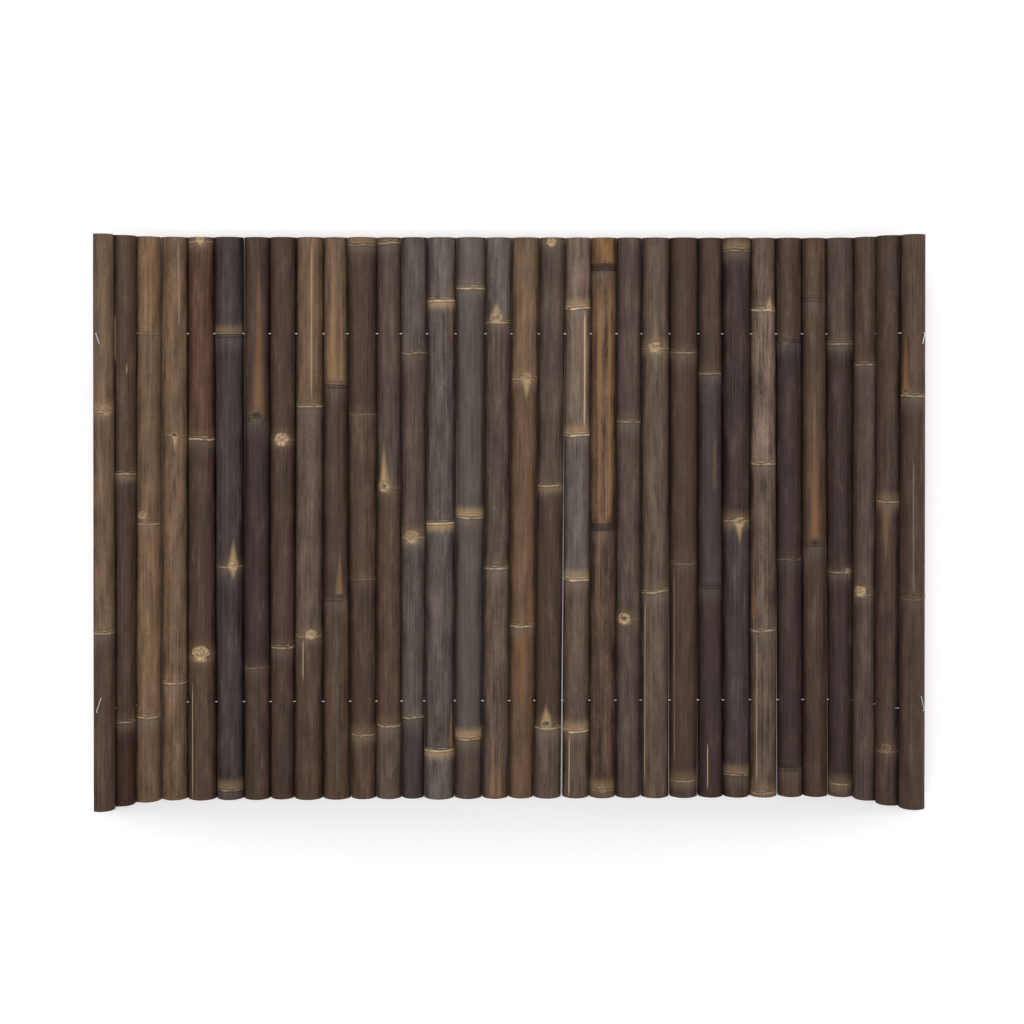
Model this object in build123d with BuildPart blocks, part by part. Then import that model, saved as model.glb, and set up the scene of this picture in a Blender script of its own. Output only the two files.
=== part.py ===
"""Half-round bamboo fence: split culms threaded side by side on two tie wires.

X runs along the panel, the rounded faces look towards -Y, and Z is up. The slats at both ends are turned
forward about the wires, so the panel stands by itself on its sawn feet.
"""
import os
from dataclasses import dataclass, field
from math import cos, radians, sin, sqrt, tan

from build123d import *

# Driving dimensions, in millimetres and degrees
slat_length = 1200.0
culm_wall = 7.0
septum_thickness = 5.0
ridge_height = 0.8
ridge_length = 12.0
ridge_clearance = 0.3
bud_radius = 7.5
bud_height = 1.4
bud_draft = 25.0
wire_diameter = 2.0
wire_hole_clearance = 0.4
wire_inset = 206.0
wire_depth = 9.0
wire_bend_radius = 6.0
tail_bend_radius = 2.5
tail_slant = 20.0
upper_tail_length = 24.0
lower_tail_length = 34.0


@dataclass
class Slat:
    """One split half of a culm, by what was measured on it."""

    # Widths across the split faces at the two sawn ends
    foot_width: float
    head_width: float
    # Heights of the rings above the foot
    rings: list
    # Ring height of each branch bud, with its angle round from the crown, positive towards +X
    buds: dict = field(default_factory=dict)
    # Angle that the slat is turned from the panel's plane
    turn: float = 0.0
    # Daylight to the next slat beyond what their ridges need
    foot_spare: float = 0.0
    head_spare: float = 0.0


# The slats in order along +X
slats = [
    Slat(50, 47, [372, 833], {833: -19}, turn=55),
    Slat(47, 52.5, [178, 700], turn=43),
    Slat(53.5, 51, [182, 592, 997], {592: -41}, turn=27),
    Slat(52.5, 54.5, [251, 780], {780: 6}, turn=4),
    Slat(60.5, 54, [310, 771, 1193], {310: 2, 1193: 3}),
    Slat(56.5, 61.5, [23, 499, 992], {499: 22}, foot_spare=0.5, head_spare=1.5),
    Slat(56, 53.5, [283, 813], {813: 5}),
    Slat(49, 57, [326, 769], {769: -2}),
    Slat(61, 56.5, [350, 841], {350: 13}),
    Slat(57.5, 49, [430, 884], foot_spare=1.5),
    Slat(52, 63, [139, 472, 824, 1186]),
    Slat(53, 49.5, [158, 667, 1191], {667: -25}),
    Slat(46.5, 56.5, [175, 560, 955], {560: -7}),
    Slat(64.5, 59.5, [106, 591, 1067]),
    Slat(57.5, 63.5, [130, 603, 1093]),
    Slat(56, 54.5, [494, 1020], {1020: -11}),
    Slat(52.5, 58.5, [370, 899], {899: 8}),
    Slat(57.5, 54, [152, 671, 1190], {152: -9, 1190: -6}, foot_spare=3.5),
    Slat(55.5, 53.5, [145, 469, 779, 1051]),
    Slat(55.5, 54, [19, 580, 1136], {19: -4, 1136: -3}),
    Slat(53, 53, [384, 808], {384: -24}, foot_spare=1),
    Slat(58.5, 58, [443, 965], {965: -4}, foot_spare=2.5),
    Slat(57.5, 60.5, [38, 503, 956], foot_spare=2),
    Slat(53, 50.5, [453, 911], {453: -4}),
    Slat(56, 61.5, [50, 595, 1175], {595: 7}),
    Slat(57.5, 52, [11, 359, 717, 1047], {1047: 25}, foot_spare=3.5),
    Slat(51.5, 55, [62, 511, 982], {62: -8, 982: -26}, foot_spare=0.5, head_spare=1),
    Slat(52, 50, [543, 1069], {543: -10}, foot_spare=2),
    Slat(48, 57.5, [30, 485, 975], {485: 34}, turn=-9),
    Slat(52.5, 52.5, [438, 930], {438: 1}, turn=-44),
    Slat(51, 54.5, [115, 642], {115: 25}, turn=-48),
    Slat(53.5, 48.5, [441, 865], {865: -25}, turn=-28),
]

# Levels at which the two wires run
lower_level = wire_inset
upper_level = slat_length - wire_inset


def ridge_gap(slat, following):
    """Room between two neighbours' walls: for one ridge, or for two where slats turn or ridges are level."""
    level = any(abs(own - other) < ridge_length for own in slat.rings for other in following.rings)
    turned = slat.turn != following.turn
    return (2 if level or turned else 1) * ridge_height + ridge_clearance


def along(slat):
    """Direction in plan from a slat's left split face to its right one."""
    return Vector(1, 0, 0).rotate(Axis.Z, slat.turn)


def backward(slat):
    """Direction in plan from a slat's crown to its split back."""
    return Vector(0, 1, 0).rotate(Axis.Z, slat.turn)


def radius_at(slat, height):
    """Outside radius of a culm, which tapers evenly from foot to head."""
    share = height / slat_length
    return (slat.foot_width + share * (slat.head_width - slat.foot_width)) / 2


def bore_at(slat, height):
    """Radius of the hollow inside a culm."""
    return radius_at(slat, height) - culm_wall


def lay_out(widths, spares):
    """Plan points of the wires: half-way through each slat, and after each slat midway to the next one.

    The straight run of the panel lies on y = 0, with the two ends as far from x = 0.
    """
    gaps = [0]
    for slat, following, spare in zip(slats, slats[1:], spares):
        closing_turn = radians(max(0, following.turn - slat.turn))
        gaps.append(ridge_gap(slat, following) + spare + 2 * wire_depth * tan(closing_turn / 2))
    gaps.append(0)
    reached = Vector(0, 0, 0)
    middles = []
    joins = []
    for slat, width, gap_before, gap_after in zip(slats, widths, gaps, gaps[1:]):
        middles.append(reached + along(slat) * ((gap_before + width) / 2))
        reached += along(slat) * (width + (gap_before + gap_after) / 2)
        joins.append(reached)
    first_straight = [slat.turn for slat in slats].index(0)
    shift = Vector(reached.X / 2, middles[first_straight].Y, 0)
    return [point - shift for point in middles], [point - shift for point in joins]


def split_middle(middles, index):
    """Point in plan on a slat's own axis, in the middle of its split back."""
    return middles[index] + backward(slats[index]) * wire_depth


# The panel in plan at foot and head, moved so that its box is centred on the origin front to back
foot_middles, foot_joins = lay_out([slat.foot_width for slat in slats], [slat.foot_spare for slat in slats])
head_middles, head_joins = lay_out([slat.head_width for slat in slats], [slat.head_spare for slat in slats])
front = min(split_middle(foot_middles, index).Y - slat.foot_width / 2 for index, slat in enumerate(slats))
to_centre = Vector(0, -(front + wire_depth) / 2, 0)
foot_middles, foot_joins, head_middles, head_joins = (
    [point + to_centre for point in points] for points in (foot_middles, foot_joins, head_middles, head_joins)
)


def at_level(foot_point, head_point, level):
    """Point at a given level on the straight line from a point at the foot to one at the head."""
    share = level / slat_length
    return foot_point * (1 - share) + head_point * share + Vector(0, 0, level)


def wire_middle(index, level):
    """Point of a wire at a given level, half-way through a slat."""
    return at_level(foot_middles[index], head_middles[index], level)


def make_slat(index):
    """Half culm: revolved from its outline, sawn level at both ends and drilled for the wires."""
    slat = slats[index]
    foot = split_middle(foot_middles, index)
    head = split_middle(head_middles, index) + Vector(0, 0, slat_length)
    own = Plane(origin=foot, x_dir=along(slat), z_dir=head - foot)
    rings = [height for height in slat.rings if height < slat_length]
    bottom = -ridge_length
    top = slat_length + ridge_length
    with BuildPart() as culm:
        with BuildSketch(Plane(origin=foot, x_dir=own.x_dir, z_dir=-own.y_dir)):
            with BuildLine():
                corner = (radius_at(slat, bottom), bottom)
                for height in rings:
                    below = height - ridge_length / 2
                    above = height + ridge_length / 2
                    ridge_foot = (radius_at(slat, below), below)
                    ridge_head = (radius_at(slat, above), above)
                    Line(corner, ridge_foot)
                    ThreePointArc(ridge_foot, (radius_at(slat, height) + ridge_height, height), ridge_head)
                    corner = ridge_head
                inside = [corner, (radius_at(slat, top), top), (bore_at(slat, top), top)]
                for height in reversed(rings):
                    above = height + septum_thickness / 2
                    below = height - septum_thickness / 2
                    inside += [(bore_at(slat, above), above), (0, above), (0, below), (bore_at(slat, below), below)]
                inside += [(bore_at(slat, bottom), bottom), (radius_at(slat, bottom), bottom)]
                Polyline(*inside)
            make_face()
        revolve(axis=Axis(foot, -own.z_dir), revolution_arc=180)
        for height, angle in slat.buds.items():
            if height in rings:
                outward = (-own.y_dir).rotate(Axis((0, 0, 0), own.z_dir), angle)
                root = foot + own.z_dir * height + outward * (radius_at(slat, height) - culm_wall / 2)
                with BuildSketch(Plane(origin=root, z_dir=outward)):
                    Circle(bud_radius)
                extrude(amount=culm_wall / 2 + bud_height, taper=bud_draft)
        split(bisect_by=Plane.XY, keep=Keep.TOP)
        split(bisect_by=Plane.XY.offset(slat_length), keep=Keep.BOTTOM)
        for level in (lower_level, upper_level):
            with Locations(Plane(origin=wire_middle(index, level), z_dir=along(slat))):
                Hole(radius=wire_diameter / 2 + wire_hole_clearance)
    culm.part.label = f"slat_{index + 1:02d}"
    export_step(culm.part, f"parts/{culm.part.label}.step")


def tail_points(index, side, level, rise, length):
    """Bend and end of a wire's tail, laid over on the face of the end slat that it comes out of.

    The side is -1 at the left end and 1 at the right end, and the rise is 1 for a tail that points up.
    """
    slat = slats[index]
    radius = radius_at(slat, level)
    half_chord = sqrt(radius**2 - wire_depth**2)
    outward = along(slat) * side
    leaves = wire_middle(index, level) + outward * half_chord
    round_face = (outward * -wire_depth - backward(slat) * half_chord) / radius
    lie = round_face * sin(radians(tail_slant)) + Vector(0, 0, rise) * cos(radians(tail_slant))
    bend = leaves + outward * tail_bend_radius * tan(radians(outward.get_angle(lie)) / 2)
    return bend, bend + lie * length


def make_wire(name, level, rise, tail_length):
    """Tie wire: one bent round rod through every slat, from tail to tail."""
    turns = [slat.turn for slat in slats]
    bends = [index for index in range(len(slats) - 1) if turns[index] != turns[index + 1]]
    left_bend, left_end = tail_points(0, -1, level, rise, tail_length)
    right_bend, right_end = tail_points(len(slats) - 1, 1, level, rise, tail_length)
    run = [at_level(foot_joins[index], head_joins[index], level) for index in bends]
    radii = [tail_bend_radius] + [wire_bend_radius] * len(run) + [tail_bend_radius]
    with BuildPart() as rod:
        with BuildLine() as route:
            FilletPolyline(left_end, left_bend, *run, right_bend, right_end, radius=radii)
        with BuildSketch(Plane(origin=route.line @ 0, z_dir=route.line % 0)):
            Circle(wire_diameter / 2)
        sweep()
    rod.part.label = name
    export_step(rod.part, f"parts/{name}.step")


os.makedirs("parts", exist_ok=True)
for number in range(len(slats)):
    make_slat(number)
make_wire("tie_wire_upper", upper_level, -1, upper_tail_length)
make_wire("tie_wire_lower", lower_level, 1, lower_tail_length)
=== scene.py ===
"""Half-round bamboo fence: the look of its split culms and tie wires, and the studio around it."""
from math import pi, radians
from typing import NamedTuple, Optional

import bpy
import numpy as np
from bpy.props import FloatProperty, FloatVectorProperty, PointerProperty
from bpy.types import Operator, Panel, PropertyGroup
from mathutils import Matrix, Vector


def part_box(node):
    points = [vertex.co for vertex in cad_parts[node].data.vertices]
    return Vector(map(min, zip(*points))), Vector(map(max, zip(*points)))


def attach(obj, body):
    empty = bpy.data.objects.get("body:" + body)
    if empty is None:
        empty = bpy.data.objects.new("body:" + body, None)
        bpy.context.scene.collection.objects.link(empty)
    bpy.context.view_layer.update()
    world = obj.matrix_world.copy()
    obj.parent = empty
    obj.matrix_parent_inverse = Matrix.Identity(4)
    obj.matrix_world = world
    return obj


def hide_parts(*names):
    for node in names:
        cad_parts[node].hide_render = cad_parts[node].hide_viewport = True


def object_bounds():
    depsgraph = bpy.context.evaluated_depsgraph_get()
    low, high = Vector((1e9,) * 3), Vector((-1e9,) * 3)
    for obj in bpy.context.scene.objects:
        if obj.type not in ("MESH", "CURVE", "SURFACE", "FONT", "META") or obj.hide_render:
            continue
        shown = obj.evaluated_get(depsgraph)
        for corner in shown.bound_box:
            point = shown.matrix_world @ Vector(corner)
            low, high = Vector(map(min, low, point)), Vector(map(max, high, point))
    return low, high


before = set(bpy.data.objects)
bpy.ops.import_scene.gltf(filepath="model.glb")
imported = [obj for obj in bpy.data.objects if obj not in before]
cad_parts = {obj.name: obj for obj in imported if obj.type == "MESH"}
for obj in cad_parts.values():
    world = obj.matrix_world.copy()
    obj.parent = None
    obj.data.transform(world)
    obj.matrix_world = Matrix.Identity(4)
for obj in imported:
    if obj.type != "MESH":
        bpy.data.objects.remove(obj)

bl_info = {
    "name": "Half-round bamboo fence",
    "version": (1, 0, 0),
    "blender": (4, 5, 0),
    "location": "3D View > Sidebar > Fence",
    "description": "Dresses a fence panel of split bamboo culms threaded on tie wires",
    "category": "Add Mesh",
}

CAD_BOX = [list(corner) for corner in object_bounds()]
MM = 0.001
# How many flames and lines a culm can have
FLAME_COUNT = 3
LINE_COUNT = 2
# Millimetres to a place that lies beyond the reach of every mark
FAR_AWAY = 100000


def display(red, green, blue):
    """Scene-linear colour from the 0 to 255 values that a screen shows."""
    shown = np.array([red, green, blue]) / 255
    return tuple(np.where(shown <= 0.04045, shown / 12.92, ((shown + 0.055) / 1.055) ** 2.4).tolist())


def colour(name, description, *shown):
    """Colour property whose default is given as a screen shows it."""
    return FloatVectorProperty(name=name, description=description, subtype="COLOR", size=3, min=0, max=1,
                               default=display(*shown))


def length(name, description, millimetres):
    """Length property whose default is given in millimetres."""
    return FloatProperty(name=name, description=description, unit="LENGTH", precision=4,
                         default=millimetres * MM)


def amount(name, description, default):
    """Plain number property."""
    return FloatProperty(name=name, description=description, default=default)


def angle(name, description, degrees):
    """Angle property whose default is given in degrees."""
    return FloatProperty(name=name, description=description, subtype="ANGLE", default=radians(degrees))


# How a ring is coloured: its pale scar line, its dark groove, and the tan glow above and below it
RING_LOOKS = {
    "faint": (0.16, 0.25, 0.04, 0.04),
    "thin": (0.34, 0.40, 0.05, 0.08),
    "pale": (0.55, 0.45, 0.08, 0.08),
    "cream": (0.85, 0.45, 0.12, 0.10),
    "bright": (1.00, 0.45, 0.60, 0.15),
    "tan": (0.42, 0.40, 0.20, 0.22),
    "tan_above": (0.40, 0.55, 0.40, 0.05),
    "tan_below": (0.52, 0.55, 0.05, 0.35),
    "cream_above": (0.65, 0.60, 0.80, 0.12),
    "cream_below": (0.80, 0.70, 0.05, 0.85),
    "dusk": (0.08, 1.00, 0.40, 0.00),
    "dark": (0.06, 1.00, 0.03, 0.00),
    "black": (0.03, 2.00, 0.00, 0.00),
    "rough": (0.30, 0.55, 0.40, 0.15),
    "ember": (0.40, 0.50, 0.08, 0.12),
}
# Dark lines about a ring: millimetres above its middle, reach in millimetres, and strength
RING_DARK_LINES = ((0.4, 1.1, 1.0), (6.2, 1.4, 0.5), (-5.8, 1.5, 0.8))


class Bud(NamedTuple):
    """Scar of a branch bud on a ring; sizes are in millimetres."""

    # Degrees round from the crown, positive to the right
    angle: float
    # Half its width
    size: float
    # Strength of its pale disc and of its dark centre
    disc: float
    hole: float
    # Lengths of the pale flames above and below it
    above: float = 0.0
    below: float = 0.0
    # How far its middle lies above the ring
    lift: float = 1.0


class Ring(NamedTuple):
    """Ring of a culm: millimetres above the foot, its look, its bud, and how far it rises to the right."""

    height: float
    look: str
    bud: Optional[Bud] = None
    rise: float = 0.0


class Flame(NamedTuple):
    """Pale or orange patch along the fibres: degrees round, span and half width in millimetres."""

    angle: float
    low: float
    high: float
    width: float
    # The end at which it runs out to a tip: 1 at the top, -1 at the bottom, 0 for a plain stripe
    tip: int = 0
    strength: float = 1.0
    # From 0 for tan to 1 for orange
    orange: float = 0.0


class Line(NamedTuple):
    """Thin line along the fibres: degrees round, span in millimetres, pale above zero and dark below it."""

    angle: float
    low: float
    high: float
    strength: float
    # Half its width in millimetres
    width: float = 0.9


class Culm(NamedTuple):
    """What grows and shows on one slat, with a tone for each stretch between rings, from the foot up."""

    rings: list
    tones: list
    flames: list = []
    lines: list = []
    # How strongly its tone is streaked along the fibres
    streak: float = 1.0
    # Most millimetres by which its right side and the next culm's left side each bulge
    snug: float = 2.0

    def ring_heights(self):
        """Heights of the rings above the foot, in metres."""
        return np.array([ring.height * MM for ring in self.rings])


# Stand-ins where a ring has no bud and a culm fewer flames or lines than it can have
NO_BUD = Bud(0, 1, 0, 0, lift=-FAR_AWAY)
NO_FLAME = Flame(0, 0, 1, 1, strength=0)
NO_LINE = Line(0, 0, 1, 0)

# The slats in order along +X
CULMS = [
    Culm([Ring(372, "pale"), Ring(833, "rough", Bud(-19, 15, disc=0.45, hole=0.2))],
         ["walnut", "olive", "olive"]),
    Culm([Ring(178, "ember"), Ring(700, "tan_below")], ["mahogany", "umber", "walnut"],
         flames=[Flame(19, 164, 198, 3, strength=0.9, orange=0.6)],
         lines=[Line(-67, 935, 1035, 0.8), Line(-14, 905, 925, 0.8)]),
    Culm([Ring(182, "pale"), Ring(592, "thin", Bud(-41, 11, disc=0.6, hole=0.1, lift=18)),
          Ring(997, "faint")], ["olive", "straw", "olive", "straw"],
         flames=[Flame(-3, 1010, 1195, 9, tip=-1, strength=0.6, orange=0.5),
                 Flame(5, 560, 592, 18, tip=-1, strength=0.5, orange=0.2)]),
    Culm([Ring(251, "pale"), Ring(780, "faint", Bud(6, 9, disc=0.5, hole=1, below=40, lift=-2))],
         ["olive"] * 3, lines=[Line(24, 1000, 1195, 0.35)], streak=1.2),
    Culm([Ring(310, "faint", Bud(0, 21, disc=1, hole=0.1, lift=4), rise=6), Ring(771, "cream"),
          Ring(1193, "tan", Bud(3, 10, disc=0.9, hole=0.1, below=15))],
         ["walnut", "umber", "russet", "walnut"],
         flames=[Flame(-33, 509, 539, 3, tip=1, strength=0.8, orange=0.2)],
         lines=[Line(-37, 0, 250, 0.7)]),
    Culm([Ring(23, "tan_above"), Ring(499, "thin", Bud(22, 12, disc=0.9, hole=0.2, above=65, below=35)),
          Ring(992, "dusk")], ["plum"] * 4, streak=1.2, snug=0.8),
    Culm([Ring(283, "faint"), Ring(813, "dark", Bud(5, 18, disc=0.15, hole=1, lift=6))],
         ["umber", "charcoal", "umber"],
         flames=[Flame(14, 822, 1150, 17, tip=1, strength=0.6, orange=0.5),
                 Flame(27, 60, 118, 4, tip=1, strength=0.4, orange=0.2)]),
    Culm([Ring(326, "pale"), Ring(769, "faint", Bud(-2, 17, disc=1, hole=0.1))],
         ["umber"] * 3),
    Culm([Ring(350, "thin", Bud(13, 13, disc=1, hole=0.3, lift=4)), Ring(841, "pale")],
         ["walnut", "ash", "olive"], flames=[Flame(11, 845, 1200, 5, tip=-1, strength=0.9, orange=0.1)],
         lines=[Line(-21, 255, 342, 0.7), Line(11, 846, 1200, 0.35)]),
    Culm([Ring(430, "dark"), Ring(884, "dark")], ["walnut", "umber", "olive"],
         flames=[Flame(-9, 890, 1200, 12, tip=1, strength=0.75, orange=0.2),
                 Flame(20, 436, 535, 12, tip=1, strength=0.7, orange=0.3),
                 Flame(32, 890, 1150, 7, tip=1, strength=0.75, orange=0.1)], snug=1.0),
    Culm([Ring(139, "tan"), Ring(472, "faint"), Ring(824, "faint"), Ring(1186, "rough")],
         ["walnut", "umber", "walnut", "umber", "walnut"], lines=[Line(21, 543, 662, -0.8)]),
    Culm([Ring(158, "pale"), Ring(667, "faint", Bud(-25, 14, disc=0.8, hole=0.55, above=105)),
          Ring(1191, "pale")], ["ash", "walnut", "smoke", "ash"]),
    Culm([Ring(175, "pale"), Ring(560, "tan", Bud(-7, 18, disc=0.6, hole=0.1)), Ring(955, "thin")],
         ["plum", "slate", "smoke", "slate"]),
    Culm([Ring(106, "cream_below"), Ring(591, "cream_below"), Ring(1067, "cream_below")],
         ["pewter", "slate", "slate", "pewter"],
         flames=[Flame(45, 975, 1110, 6, strength=0.6, orange=0.4),
                 Flame(52, 108, 212, 8, tip=1, orange=0.3)], streak=1.2),
    Culm([Ring(130, "cream_above"), Ring(603, "cream_above"), Ring(1093, "cream")],
         ["smoke", "slate", "slate", "pewter"], lines=[Line(-64, 615, 822, 0.6)], streak=0.6),
    Culm([Ring(494, "pale"), Ring(1020, "pale", Bud(-11, 15, disc=0.7, hole=0.35, above=34, lift=8))],
         ["ash", "smoke", "pewter"],
         flames=[Flame(-12, 0, 150, 8, tip=1, strength=0.9, orange=0.4),
                 Flame(18, 0, 130, 7, tip=1, strength=0.7, orange=0.3)], streak=1.2),
    Culm([Ring(370, "pale"), Ring(899, "tan", Bud(8, 14, disc=0.55, hole=0.25, below=55))],
         ["chestnut", "chestnut", "olive"],
         flames=[Flame(0, 180, 362, 18, tip=-1, strength=0.5, orange=0.8)]),
    Culm([Ring(152, "pale", Bud(-9, 14, disc=0.6, hole=0.8, above=45, lift=8)), Ring(671, "tan_below"),
          Ring(1190, "faint", Bud(-6, 11, disc=0.9, hole=0.1, below=15))],
         ["ash", "umber", "smoke", "ash"], snug=1.1),
    Culm([Ring(145, "bright"), Ring(469, "bright"), Ring(779, "bright"), Ring(1051, "bright")],
         ["ash", "ash", "pewter", "taupe", "taupe"],
         lines=[Line(-34, 0, 134, 0.9), Line(31, 783, 1049, 0.75, width=2.2)]),
    Culm([Ring(19, "rough", Bud(-4, 10, disc=0.3, hole=0.4)), Ring(580, "black"),
          Ring(1136, "black", Bud(-3, 12, disc=0, hole=0.6))], ["walnut", "walnut", "chestnut", "honey"],
         flames=[Flame(-20, 300, 1130, 9, tip=-1, strength=0.8, orange=0.5),
                 Flame(10, 1150, 1200, 14, strength=0.6, orange=0.7),
                 Flame(26, 590, 1125, 6, strength=0.8, orange=0.5)],
         lines=[Line(-42, 590, 1125, -0.8), Line(4, 590, 1125, -0.6)], streak=1.6),
    Culm([Ring(384, "faint", Bud(-24, 15, disc=1, hole=0.9)), Ring(808, "thin")],
         ["smoke"] * 3, snug=0.8),
    Culm([Ring(443, "pale", rise=6), Ring(965, "tan", Bud(-4, 15, disc=0.9, hole=0.2))],
         ["ash"] * 3, flames=[Flame(-3, 978, 1050, 8, tip=1, strength=0.6)],
         lines=[Line(-50, 14, 440, 0.6)], snug=1.4),
    Culm([Ring(38, "tan"), Ring(503, "faint"), Ring(956, "thin")], ["umber"] * 4,
         lines=[Line(-48, 60, 495, 0.4)], streak=0.7, snug=1.0),
    Culm([Ring(453, "dark", Bud(-4, 15, disc=0, hole=0.4)), Ring(911, "thin")],
         ["charcoal", "plum", "umber"], flames=[Flame(17, 655, 770, 6, strength=0.25)],
         lines=[Line(-19, 15, 115, 0.7)], streak=0.8),
    Culm([Ring(50, "tan_above"), Ring(595, "tan", Bud(7, 13, disc=0.7, hole=0.5, below=55, lift=-3)),
          Ring(1175, "rough")], ["umber", "plum", "charcoal", "walnut"], streak=1.2),
    Culm([Ring(11, "tan"), Ring(359, "pale"), Ring(717, "pale"),
          Ring(1047, "cream", Bud(25, 8, disc=0.9, hole=0.1, above=25, lift=6))],
         ["ash", "ash", "ash", "taupe", "ash"],
         flames=[Flame(-52, 380, 530, 6, tip=1, strength=0.6, orange=0.7),
                 Flame(33, 1045, 1092, 4, tip=1, strength=0.8)],
         lines=[Line(-35, 15, 352, 0.5)], streak=1.4, snug=1.2),
    Culm([Ring(62, "dark", Bud(-8, 15, disc=0, hole=0.4)), Ring(511, "faint"),
          Ring(982, "dark", Bud(-26, 15, disc=0.1, hole=0.5))],
         ["walnut", "charcoal", "charcoal", "umber"], snug=1.0),
    Culm([Ring(543, "dark", Bud(-10, 15, disc=0.05, hole=1)), Ring(1069, "dark")],
         ["umber", "walnut", "walnut"],
         flames=[Flame(-6, 551, 875, 14, tip=1, strength=0.7, orange=0.9),
                 Flame(50, 1080, 1195, 6, tip=-1, strength=0.5, orange=0.8)], snug=1.9),
    Culm([Ring(30, "tan"), Ring(485, "thin", Bud(34, 8, disc=0.6, hole=0.3)), Ring(975, "ember")],
         ["walnut", "charcoal", "charcoal", "smoke"],
         flames=[Flame(42, 458, 484, 3, tip=-1, orange=0.2)]),
    Culm([Ring(438, "faint", Bud(1, 15, disc=1, hole=0, lift=8), rise=8), Ring(930, "thin")],
         ["smoke", "smoke", "walnut"]),
    Culm([Ring(115, "faint", Bud(25, 13, disc=0.25, hole=0.3, lift=6)), Ring(642, "tan")],
         ["umber"] * 3, flames=[Flame(18, 515, 635, 16, tip=-1, strength=0.5, orange=0.4)]),
    Culm([Ring(441, "faint"), Ring(865, "pale", Bud(-25, 12, disc=0.25, hole=0.5, lift=8))],
         ["umber", "umber", "walnut"],
         flames=[Flame(-27, 875, 1000, 12, tip=1, strength=0.8, orange=0.7)],
         lines=[Line(16, 442, 730, 0.2)]),
]


class FenceTones(PropertyGroup):
    """Colours of the bamboo, its marks and the wire."""

    charcoal: colour("Charcoal", "Nearly black brown", 50, 37, 33)
    plum: colour("Plum", "Dark brown with a purple cast", 57, 46, 45)
    mahogany: colour("Mahogany", "Dark red brown", 56, 33, 23)
    umber: colour("Umber", "Dark brown", 64, 47, 38)
    russet: colour("Russet", "Red brown", 78, 53, 41)
    walnut: colour("Walnut", "Middle brown", 74, 55, 43)
    smoke: colour("Smoke", "Dark grey brown", 73, 59, 51)
    ash: colour("Ash", "Middle grey brown", 84, 68, 57)
    slate: colour("Slate", "Cool grey", 78, 68, 63)
    pewter: colour("Pewter", "Light grey", 89, 79, 73)
    taupe: colour("Taupe", "Light grey brown", 104, 86, 74)
    olive: colour("Olive", "Light yellow brown", 100, 78, 59)
    straw: colour("Straw", "Lightest yellow brown", 111, 86, 63)
    chestnut: colour("Chestnut", "Warm brown", 91, 68, 50)
    honey: colour("Honey", "Orange brown", 106, 77, 50)
    scar: colour("Scar", "Pale lines and discs where sheath and branch grew", 206, 180, 144)
    pulp: colour("Pulp", "Torn face of the bud scars", 178, 152, 116)
    flame: colour("Flame", "Pale flames at the buds", 172, 144, 102)
    tan: colour("Tan", "Halo of the buds and pale flames along the fibres", 142, 112, 76)
    glow: colour("Glow", "Light skin beside the rings", 158, 131, 95)
    orange: colour("Orange", "Warm flames along the fibres", 134, 90, 48)
    # Dark colour along the rings, at the edges and pits of the buds, and in the cracks
    groove: colour("Groove", "Dark dirt beside the rings and in buds", 30, 22, 18)
    bloom: colour("Bloom", "Grey wax left on the skin", 112, 103, 97)
    flesh: colour("Flesh", "Split faces, hollows and sawn ends", 150, 117, 79)
    zinc: colour("Zinc", "Galvanised wire", 176, 178, 180)


class FenceSizes(PropertyGroup):
    """Sizes of what stands proud of the culms."""

    swell: length("Ring swell", "Height of a ring's broad swelling", 0.5)
    swell_rise: length("Swell rise", "How far the swelling lies above the ring's middle", 1.5)
    swell_reach: length("Swell reach", "Spread of the swelling along the culm", 3.2)
    lip: length("Scar lip", "Height of the sharp lip that the sheath left", 0.35)
    lip_reach: length("Lip reach", "Spread of the lip along the culm", 0.8)
    lip_drop: length("Lip drop", "How far the lip lies below the ring's middle", 2.0)
    furrow: length("Furrow", "Depth of the furrow between lip and swelling", 0.4)
    bud_height: length("Bud height", "How far a bud scar stands proud", 1.3)
    bud_pit: length("Bud pit", "Depth of the hole where a branch broke off", 2.6)
    septum: length("Wall half thickness", "Half the thickness of the wall across the hollow at a ring", 2.2)
    septum_fillet: length("Wall fillet", "Reach of the fillet from that wall to the hollow", 3.2)
    bulge_room: length("Bulge room", "Room left between the sides of two culms", 0.3)
    wire: length("Wire diameter", "Diameter of the tie wires", 2.0)
    pith: length("Pith radius", "Radius of the soft core left open in that wall", 1.0)
    hole: length("Wire hole radius", "Radius of the drilled holes that the wires run through", 1.4)
    hole_depth: length("Wire hole depth", "Depth of those holes in the outer face", 4.0)
    hole_edge: length("Wire hole edge", "Width over which the face falls into those holes", 0.5)


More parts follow.
